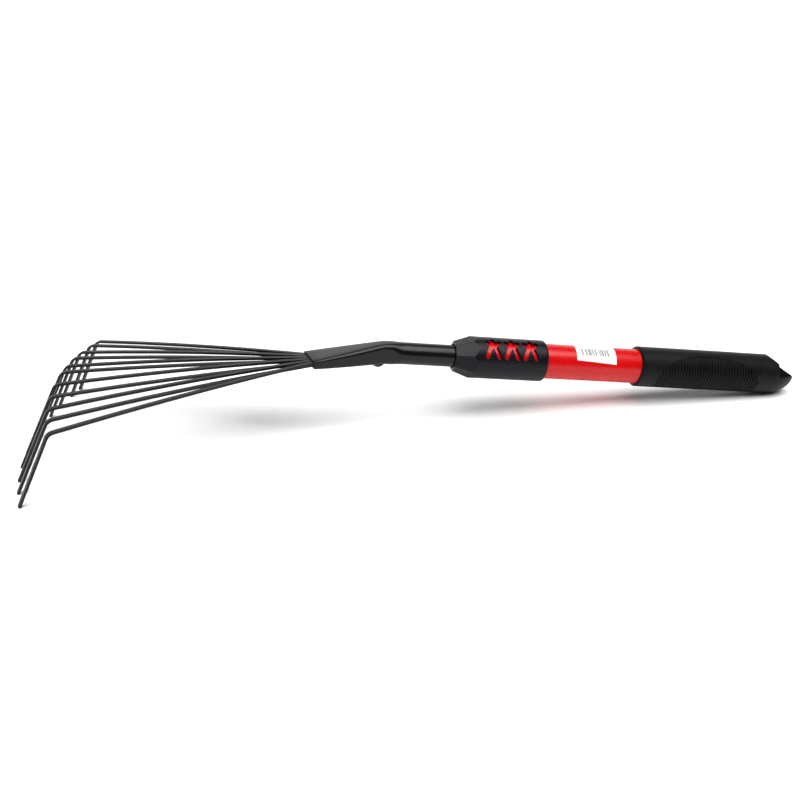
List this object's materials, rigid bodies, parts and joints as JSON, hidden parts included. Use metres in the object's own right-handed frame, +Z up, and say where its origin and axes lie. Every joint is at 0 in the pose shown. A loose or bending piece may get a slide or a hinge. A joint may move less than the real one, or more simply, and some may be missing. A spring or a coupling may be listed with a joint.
{
  "type": "hand fan rake",
  "caption": "Short-handled fan rake: flat bent spring tines splayed from a pressed steel ferrule, kinked neck, windowed collar, round tube handle and ribbed grip with a hang tab.",
  "frame": {"origin": "on the ground under the middle of the whole rake as it rests on its tine tips and grip", "axes": "+X from the tines towards the butt of the grip, +Z up, +Y to the left seen from the tines towards the grip"},
  "size_m": [0.609, 0.1882, 0.0642],
  "materials": {
    "tine_steel": "satin black paint",
    "neck_paint": "semi-gloss black powder coat",
    "red_paint": "gloss red enamel",
    "collar_plastic": "matt moulded black",
    "bush_plastic": "moulded black",
    "pin_steel": "zinc plated",
    "grip_rubber": "soft matt black",
    "label_paper": "coated white paper"
  },
  "bodies": {
    "root": {"tine_01": "tine_steel", "tine_02": "tine_steel", "tine_03": "tine_steel", "tine_04": "tine_steel", "tine_05": "tine_steel", "tine_06": "tine_steel", "tine_07": "tine_steel", "tine_08": "tine_steel", "tine_09": "tine_steel", "tine_10": "tine_steel", "tine_11": "tine_steel", "neck_tube": "neck_paint", "neck_rivet": "neck_paint", "collar_sleeve": "collar_plastic", "handle_tube": "red_paint", "front_bush": "bush_plastic", "rear_bush": "bush_plastic", "neck_pin": "pin_steel", "end_plug": "bush_plastic", "grip": "grip_rubber", "price_label": "label_paper"}
  },
  "joints": []
}
